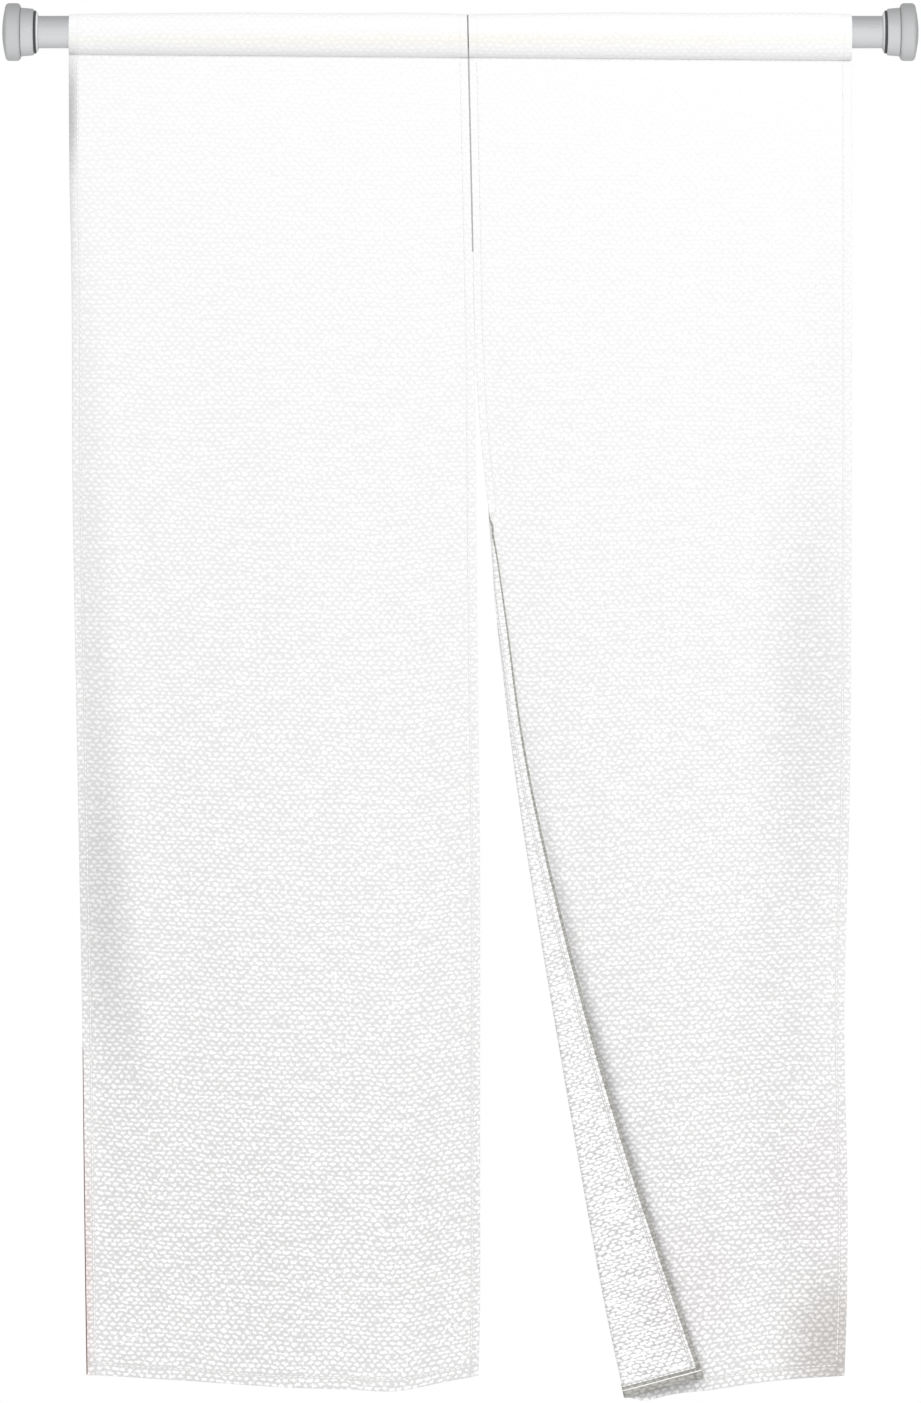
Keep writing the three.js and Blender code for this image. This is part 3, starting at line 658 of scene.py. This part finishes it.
# A stitch is a short spindle of thread, as coarse as the weave is, that lies a share of its radius above the
# cloth. It has rings of points, each with its place and its radius in shares of the stitch's own.
STITCH = {"length": 5, "pitch": 6, "radius": 0.95, "lift": 0.3}
STITCH_RINGS = ((-0.5, 0.35), (-0.3, 0.9), (0.3, 0.9), (0.5, 0.35))
STITCH_SIDES = 5
# A line of stitches stops this many rows or columns of points short of an edge. The lip's line is this many
# rows from the lip's edge.
STITCHES_STOP = 3
LIP_STITCH_ROW = 2


def spindle_faces():
    """The faces of one stitch, from ring to ring and at both ends."""
    rings = np.arange(len(STITCH_RINGS) * STITCH_SIDES).reshape(-1, STITCH_SIDES)
    turned = np.roll(rings, -1, axis=1)
    sides = np.stack([rings[:-1], turned[:-1], turned[1:], rings[1:]], axis=-1).reshape(-1, 4)
    return [*sides.tolist(), rings[0, ::-1].tolist(), rings[-1].tolist()]


def stitches_along(path, normal):
    """The points of each stitch in a row that lies on a line of surface points."""
    lengths = np.linalg.norm(np.diff(path, axis=0), axis=1)
    run = np.concatenate([[0], np.cumsum(lengths)])
    middles = np.arange(STITCH["pitch"], run[-1] - STITCH["pitch"], STITCH["pitch"])

    def at(values, where):
        return np.stack([np.interp(where, run, values[:, k]) for k in range(3)], axis=-1)

    ahead = at(path, middles + STITCH["length"] / 2) - at(path, middles - STITCH["length"] / 2)
    ahead /= np.linalg.norm(ahead, axis=1, keepdims=True)
    up = at(normal, middles)
    side = np.cross(ahead, up)
    side /= np.linalg.norm(side, axis=1, keepdims=True)
    middle = at(path, middles) + up * STITCH["radius"] * STITCH["lift"]
    points = []
    for share, swell in STITCH_RINGS:
        for k in range(STITCH_SIDES):
            turn = 2 * math.pi * k / STITCH_SIDES
            ring = side * math.cos(turn) + up * math.sin(turn)
            points.append(middle + ahead * share * STITCH["length"] + ring * swell * STITCH["radius"])
    return np.stack(points, axis=1)


def thread_piece(name, lines, material):
    """One mesh of all the stitches along several lines of (surface points, surface normals)."""
    vertices, faces = [], []
    pattern = spindle_faces()
    for path, normal in lines:
        for spindle in stitches_along(path, normal):
            start = len(vertices)
            vertices.extend((spindle * MM).tolist())
            faces.extend([start + i for i in face] for face in pattern)
    mesh = bpy.data.meshes.new(name)
    mesh.from_pydata(vertices, [], faces)
    mesh.materials.append(material)
    mesh.polygons.foreach_set("use_smooth", np.ones(len(faces), bool))
    piece = bpy.data.objects.new(name, mesh)
    bpy.context.scene.collection.objects.link(piece)
    return piece


def sewn_panel(side, rows, edges, first, last, materials, thread):
    """A whole panel: the hanging sheet with its pocket above it, and its stitching. Its rows of points run
    between the edges' columns first and last."""
    sheet, from_first, from_last, from_bottom = rows
    pocket = pocket_rows(sheet[0], edges, first, last)[1:][::-1]
    stitch_row = len(pocket)
    points = np.concatenate([pocket, sheet])
    climb = np.cumsum(np.linalg.norm(np.diff(points[stitch_row::-1], axis=0), axis=-1), axis=0)[::-1]
    from_bottom = np.concatenate([from_bottom[0] + climb, from_bottom])
    from_first = np.concatenate([np.repeat(from_first[:1], stitch_row, axis=0), from_first])
    from_last = np.concatenate([np.repeat(from_last[:1], stitch_row, axis=0), from_last])
    across = from_first if side == "left" else from_last
    piece, front_face, back_face, normal = cloth_piece(
        f"linen_panel_{side}", points, (from_first, from_last), from_bottom, across, materials,
        reverse_edge=side == "right")

    hem_row = int(np.argmin(np.abs(from_bottom[:, 0] - HEM["bottom_stitch"])))
    lines = []
    down_hem = slice(stitch_row + STITCHES_STOP, hem_row)
    for distances in (from_first, from_last):
        column = int(np.argmin(np.abs(distances[-1] - HEM["side_stitch"])))
        lines.append((front_face[down_hem, column], normal[down_hem, column]))
        lines.append((back_face[down_hem, column], -normal[down_hem, column]))
    crossing = slice(STITCHES_STOP, -STITCHES_STOP)
    seams = (
        (hem_row, front_face, 1), (hem_row, back_face, -1), (stitch_row + 1, front_face, 1),
        (LIP_STITCH_ROW, back_face, -1),
    )
    for row, face, sign in seams:
        lines.append((face[row, crossing], sign * normal[row, crossing]))
    sewing = thread_piece(f"hem_stitching_{side}", lines, thread)
    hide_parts(f"panel_{side}")
    for part in (piece, sewing):
        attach(part, "root")


def turned_piece(name, stations, material, bore=None):
    """A round piece on the rod's axis: a disc, extruded and resized from station to station.
    stations are (along the rod, radius) in millimetres, and a bore goes right through."""
    deselect_all()
    start, radius = stations[0]
    bpy.ops.mesh.primitive_circle_add(
        vertices=ROUND_SIDES, radius=radius * MM, fill_type="NGON",
        location=(start * MM, 0, 0), rotation=(0, math.pi / 2, 0))
    piece = bpy.context.object
    bpy.ops.object.mode_set(mode="EDIT")
    for (along, size), (last_along, last_size) in zip(stations[1:], stations):
        move = ((along - last_along) * MM, 0, 0)
        bpy.ops.mesh.extrude_region_move(TRANSFORM_OT_translate={"value": move})
        scale = size / last_size
        bpy.ops.transform.resize(value=(1, scale, scale), center_override=(along * MM, 0, 0))
    bpy.ops.object.mode_set(mode="OBJECT")
    bpy.ops.object.transform_apply(location=True, rotation=True, scale=True)
    if bore:
        cut_bore(piece, stations, bore)
    bpy.ops.object.mode_set(mode="EDIT")
    bpy.ops.mesh.select_all(action="SELECT")
    bpy.ops.mesh.normals_make_consistent(inside=False)
    bpy.ops.object.mode_set(mode="OBJECT")
    rounding = piece.modifiers.new("rounding", "BEVEL")
    rounding.width, rounding.segments = ROUNDING["width"] * MM, ROUNDING["segments"]
    rounding.angle_limit = math.radians(ROUNDING["from_angle"])
    bpy.ops.object.modifier_apply(modifier=rounding.name)
    bpy.ops.object.shade_smooth_by_angle(angle=math.radians(SMOOTH_UNDER))
    piece.name = piece.data.name = name
    piece.data.materials.append(material)
    return piece


def select_discs(piece, places):
    """Selects only the round faces that close the piece at these places along the rod."""
    for face in piece.data.polygons:
        near = any(abs(face.center.x - place * MM) < SAME_PLACE * MM for place in places)
        face.select = near and len(face.vertices) == ROUND_SIDES


def cut_bore(piece, stations, bore):
    """Insets both end faces down to the bore and bridges them."""
    ends = (stations[0], stations[-1])
    for along, radius in ends:
        select_discs(piece, [along])
        bpy.ops.object.mode_set(mode="EDIT")
        bpy.ops.mesh.select_mode(type="FACE")
        bpy.ops.mesh.inset(thickness=(radius - bore) * MM)
        bpy.ops.object.mode_set(mode="OBJECT")
    select_discs(piece, [along for along, radius in ends])
    bpy.ops.object.mode_set(mode="EDIT")
    bpy.ops.mesh.bridge_edge_loops()
    bpy.ops.object.mode_set(mode="OBJECT")


def smooth_quarter(start, end, across_first):
    """Stations of a quarter-round shoulder from one (along, radius) to another."""
    angles = np.linspace(0, math.pi / 2, QUARTER_STEPS + 1)[1:]
    early, late = np.sin(angles), 1 - np.cos(angles)
    along, radius = (late, early) if across_first else (early, late)
    return [
        (start[0] + a * (end[0] - start[0]), start[1] + r * (end[1] - start[1]))
        for a, r in zip(along, radius)
    ]


# End caps: what the outlines need beyond the frame's boxes, along the rod from the wall and in radius. A
# pad's dome is a shallow paraboloid round its flat face.
DOME_STATIONS = 8
PAD = {
    "face": 9, "dome_depth": 2.9, "dome": 26.4, "rim": 31.5, "rim_from": 7.4, "rim_to": 15.1, "back": 27.6,
}
COLLAR = {"root": 26.6, "shoulder": 25.6, "tip": 23.9, "tip_round": 3}
RING_RADIUS = 23.4
BUSH = {"root": 22, "tip": 18.9, "lip": 0.6}


def pad_stations(low, high):
    """A pad's outline: flat face, dome, rim and the shoulder down to its back."""
    rise = PAD["dome_depth"] / (PAD["dome"] ** 2 - PAD["face"] ** 2)
    radii = np.linspace(PAD["face"], PAD["dome"], DOME_STATIONS)
    dome = [(low + rise * (radius ** 2 - PAD["face"] ** 2), radius) for radius in radii]
    rim_start, rim_end = (low + PAD["rim_from"], PAD["rim"]), (low + PAD["rim_to"], PAD["rim"])
    return [
        *dome, *smooth_quarter(dome[-1], rim_start, True), rim_end,
        *smooth_quarter(rim_end, (high, PAD["back"]), False),
    ]


def collar_stations(low, high):
    """A collar's outline: slightly tapered, with a rounded tip."""
    shoulder = (high - COLLAR["tip_round"], COLLAR["shoulder"])
    return [(low, COLLAR["root"]), shoulder, *smooth_quarter(shoulder, (high, COLLAR["tip"]), False)]


def ring_stations(low, high):
    """A lock ring's outline: straight."""
    return [(low, RING_RADIUS), (high, RING_RADIUS)]


def bush_stations(low, high):
    """A bush's outline: a lip and a taper."""
    return [(low, BUSH["root"]), (low + BUSH["lip"], BUSH["root"]), (high, BUSH["tip"])]


# Finishes of the end caps: pads of rubber and collars of plastic, both sprayed silver-grey, rings of bare
# charcoal plastic and bushes of bare white plastic
CAP_FINISHES = {
    "end_pad": {
        "name": "coated_grey_rubber", "light": "#d6d7d8", "dark": "#cfd0d1",
        "roughness": 0.4, "grit": 0.5, "metallic": 0.8,
    },
    "end_collar": {
        "name": "coated_grey_plastic", "light": "#dbdcdd", "dark": "#d5d6d7",
        "roughness": 0.3, "grit": 0.4, "metallic": 0.8,
    },
    "lock_ring": {
        "name": "moulded_charcoal_plastic", "light": "#4a4e50", "dark": "#3e4244",
        "roughness": 0.5, "grit": 0.4, "metallic": 0,
    },
    "bush": {
        "name": "moulded_white_plastic", "light": "#f5f5f5", "dark": "#ececec",
        "roughness": 0.45, "grit": 0.4, "metallic": 0,
    },
}


def end_caps():
    """Both ends' pieces, each drawn from the wall inwards at its node's place."""
    materials = {part: moulded(**finish) for part, finish in CAP_FINISHES.items()}
    bore = ROD_RADIUS + GAP
    shapes = (
        ("end_pad", "pad_rubber", pad_stations, None),
        ("end_collar", "collar_plastic", collar_stations, bore),
        ("lock_ring", "ring_plastic", ring_stations, bore),
        ("bush", "bush_plastic", bush_stations, bore),
    )
    for side in ("left", "right"):
        for part, slot, outline, hole in shapes:
            node = f"{side}_{part}"
            low, high = (corner.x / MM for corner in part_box(node))
            if side == "right":
                low, high = SPAN - high, SPAN - low
            stations = outline(low, high)
            if side == "right":
                stations = [(SPAN - along, radius) for along, radius in stations]
            piece = turned_piece(f"{side}_{part}_piece", stations, materials[part], hole)
            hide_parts(node)
            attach(piece, "root")


# Light. The surround lights from all round, mostly from above and a little from the left. The gloss reflects
# a surround that is brightest in front and below.
FILL_LIGHT = {"towards": (-0.2, 0, 0.98), "level": 0.44, "swing": 0.35}
REFLECTED = {"towards": (0, -0.77, -0.64), "level": 0.7, "swing": 0.26}
KEY_LIGHT = {"location": (2.2, -6.3, 1.5), "target": (0.5, 0, -0.5), "size": 3.2, "power": 273}
BACK_LIGHT = {"location": (-1, 5.8, 1.2), "target": (0.5, 0, -0.6), "size": 3, "power": 130}
FLOOR = {"radius": 2.4, "middle": (0.5, 0, -1.72)}


def camera():
    """Square to the curtain, with the photograph's frame on the curtain's plane."""
    width, height = PHOTO_SIZE
    across = (width / 2 - ROD_PIXEL[0]) * MM_PER_PIXEL * MM
    up = (ROD_PIXEL[1] - height / 2) * MM_PER_PIXEL * MM
    distance = height * MM_PER_PIXEL * MM * LENS / SENSOR
    data = bpy.data.cameras.new("camera")
    data.lens, data.sensor_width, data.clip_end = LENS, SENSOR, FARTHEST
    eye = bpy.data.objects.new("camera", data)
    eye.location = (across, -distance, up)
    eye.rotation_euler = (math.pi / 2, 0, 0)
    bpy.context.scene.collection.objects.link(eye)
    bpy.context.scene.camera = eye


def softbox(location, target, size, power):
    data = bpy.data.lights.new("softbox", "AREA")
    data.shape, data.size, data.energy = "SQUARE", size, power
    lamp = bpy.data.objects.new("softbox", data)
    lamp.location = location
    lamp.rotation_euler = (Vector(target) - Vector(location)).to_track_quat("-Z", "Y").to_euler()
    lamp.visible_glossy = lamp.visible_camera = False
    bpy.context.scene.collection.objects.link(lamp)


def studio():
    """A white surround that lights softly from all round, a large softbox on each side and a pale floor."""
    world = bpy.data.worlds.new("studio")
    bpy.context.scene.world = world
    world.use_nodes = True
    tree = world.node_tree
    tree.nodes.clear()
    rays = add(tree, "LightPath").node.outputs
    direction = add(tree, "TexCoord", out="Generated")
    surround = []
    for light in (FILL_LIGHT, REFLECTED):
        facing = add(tree, "VectorMath", {0: direction, 1: light["towards"]}, out="Value",
                     operation="DOT_PRODUCT")
        level = add(tree, "Math", {0: facing, 1: light["swing"], 2: light["level"]},
                    operation="MULTIPLY_ADD")
        surround.append(add(tree, "Background", {"Strength": level, "Color": srgb("#ffffff")}))
    paper = add(tree, "Background", {"Strength": 1, "Color": srgb("#ffffff")})
    lit = add(tree, "MixShader", {0: rays["Is Glossy Ray"], 1: surround[0], 2: surround[1]})
    seen = add(tree, "MixShader", {0: rays["Is Camera Ray"], 1: lit, 2: paper})
    add(tree, "OutputWorld", {"Surface": seen})
    softbox(**KEY_LIGHT)
    softbox(**BACK_LIGHT)

    deselect_all()
    bpy.ops.mesh.primitive_circle_add(
        vertices=ROUND_SIDES, radius=FLOOR["radius"], fill_type="NGON", location=FLOOR["middle"])
    bpy.ops.object.transform_apply()
    floor = bpy.context.object
    floor.name = "pale_floor"
    floor.data.materials.append(pale_floor())
    floor.visible_glossy = False
    bpy.context.scene.view_settings.view_transform = "Standard"


def rod_tube():
    """The plain tube inside both pockets."""
    stations = [(ROD_LOW.x / MM, ROD_RADIUS), (ROD_HIGH.x / MM, ROD_RADIUS)]
    piece = turned_piece("tension_rod_tube", stations, painted_tube())
    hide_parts("rod_tube")
    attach(piece, "root")


camera()
studio()
rod_tube()
end_caps()
cloth_sides = (
    linen("bleached_linen_front", thread="#fbfbfb", shade="#d3d2d2", grain=GRAIN["front"]),
    linen("bleached_linen_reverse", thread="#fafafa", shade="#bfbebe", grain=GRAIN["reverse"],
          # The hem strip's colours: partly the hem's own, partly painted shade of its rolled edge
          strip={"thread": "#b1b0ac", "shade": "#8f8d88"}),
)
sewing_thread = cotton_thread()
sewn_panel("left", left_rows(), LEFT_EDGES, "outer", "inner", cloth_sides, sewing_thread)
sewn_panel("right", right_rows(), RIGHT_EDGES, "fold", "outer", cloth_sides, sewing_thread)
